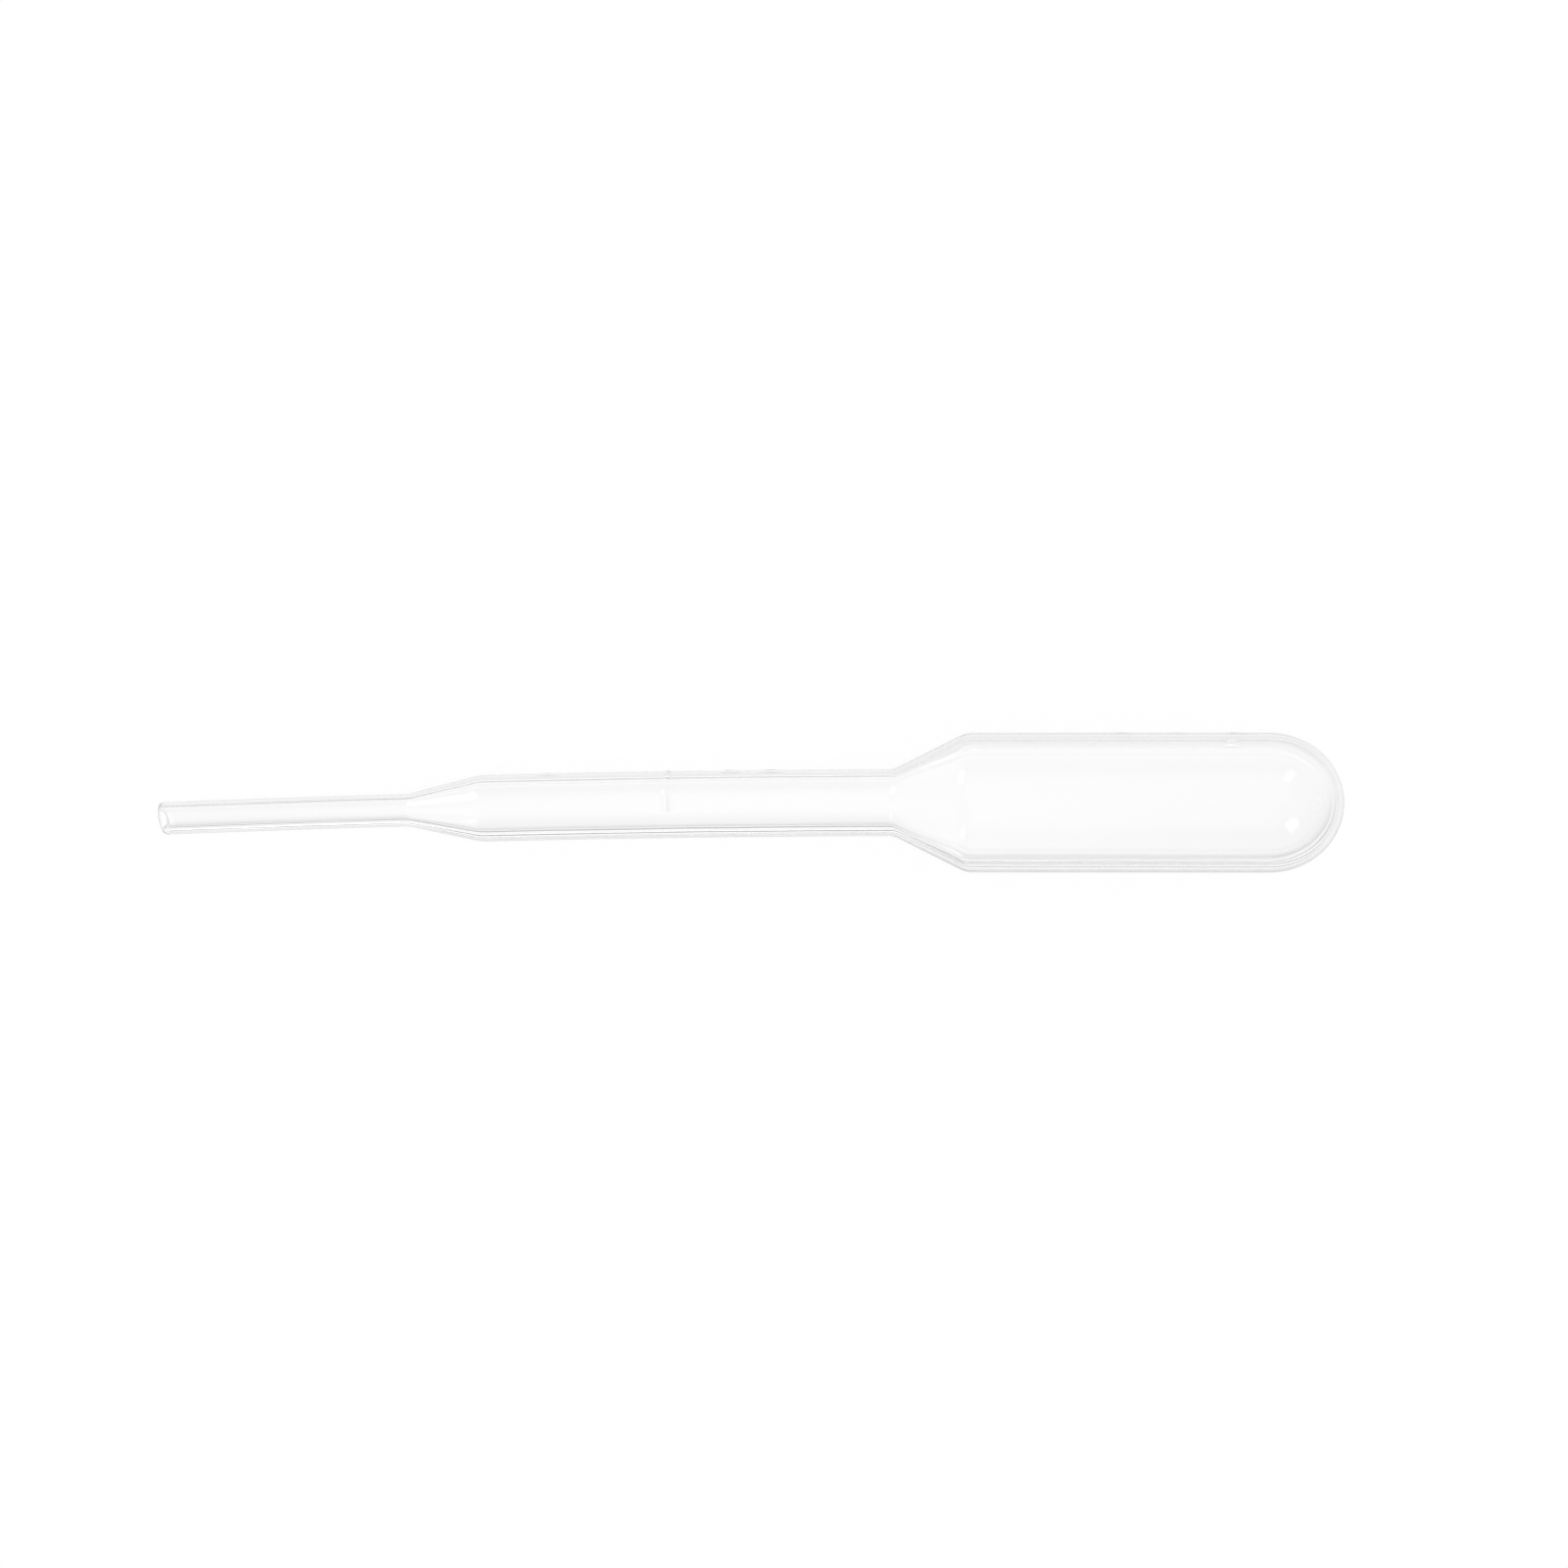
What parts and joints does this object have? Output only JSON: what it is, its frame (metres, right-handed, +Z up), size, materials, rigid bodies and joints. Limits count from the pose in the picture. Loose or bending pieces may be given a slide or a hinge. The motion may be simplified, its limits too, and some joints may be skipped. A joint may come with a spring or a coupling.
{
  "type": "dropper pipette",
  "caption": "Clear soft plastic dropper pipette: fine open tip, lower cone, straight stem with a raised fill mark, sloping shoulder and closed squeeze bulb with a domed end.",
  "frame": {"origin": "on the surface that the pipette lies on, under the middle of its bounding box", "axes": "+X along the pipette from its open tip towards its bulb, +Y across it in the mould's parting plane, +Z up"},
  "size_m": [0.0622, 0.0074, 0.0083],
  "materials": {
    "clear_polyethylene": "clear, slightly hazy gloss"
  },
  "bodies": {
    "root": {"pipette_body": "clear_polyethylene"}
  },
  "joints": []
}
